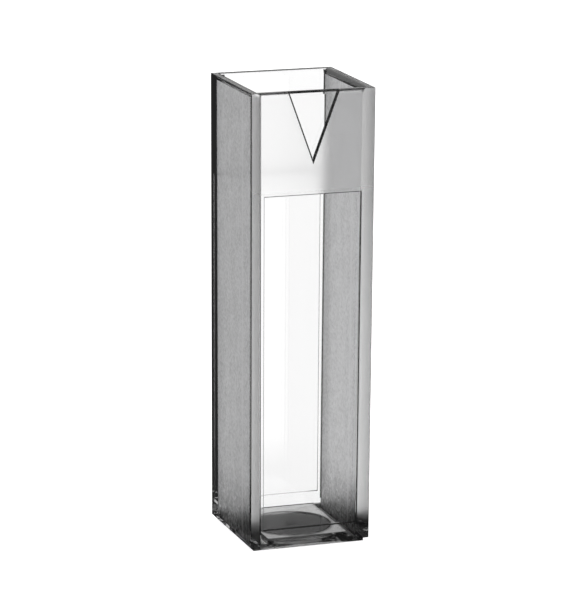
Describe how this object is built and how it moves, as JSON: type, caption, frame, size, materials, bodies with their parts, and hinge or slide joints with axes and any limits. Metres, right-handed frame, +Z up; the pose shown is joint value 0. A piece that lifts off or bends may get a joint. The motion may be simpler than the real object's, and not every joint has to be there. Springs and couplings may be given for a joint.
{
  "type": "spectrophotometer cuvette",
  "caption": "Clear square open-topped sample cell with polished optical windows front and rear, frosted side walls, a V arrow mark at the rim and a stepped foot.",
  "frame": {"origin": "centre of the foot's underside, on the surface that it stands on", "axes": "+Z up to the open rim; the light path runs along Y through the windows, with the arrow mark on the -Y face; the frosted walls face +X and -X"},
  "size_m": [0.0124, 0.0124, 0.045],
  "materials": {
    "clear_plastic": "clear moulded polystyrene: windows polished, the two side walls frosted"
  },
  "bodies": {
    "root": {"cuvette": "clear_plastic"}
  },
  "joints": []
}
